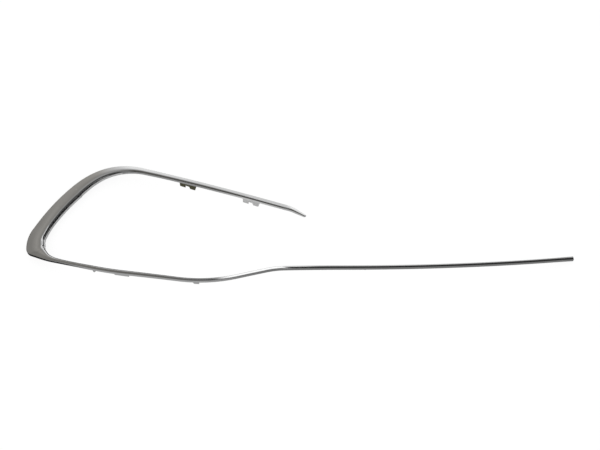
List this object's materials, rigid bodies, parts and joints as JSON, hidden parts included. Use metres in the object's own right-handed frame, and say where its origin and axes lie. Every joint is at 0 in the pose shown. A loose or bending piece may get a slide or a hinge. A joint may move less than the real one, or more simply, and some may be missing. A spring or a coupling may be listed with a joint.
{
  "type": "bumper trim moulding",
  "caption": "Chrome trim strip that frames a bumper's side intake with a wide blade, an upper arm and a thin curved tail, with fixing tabs and locating pins behind.",
  "frame": {"origin": "centre of the outline seen from above, at the floor that the trim rests on, face up", "axes": "+X along the trim from the blade towards the thin tail's end, +Y towards the top of the loop, +Z out of the face"},
  "size_m": [0.885, 0.2186, 0.0732],
  "materials": {
    "chrome_plate": "bright chrome plating on moulded plastic"
  },
  "bodies": {
    "root": {"chrome_trim": "chrome_plate"}
  },
  "joints": []
}
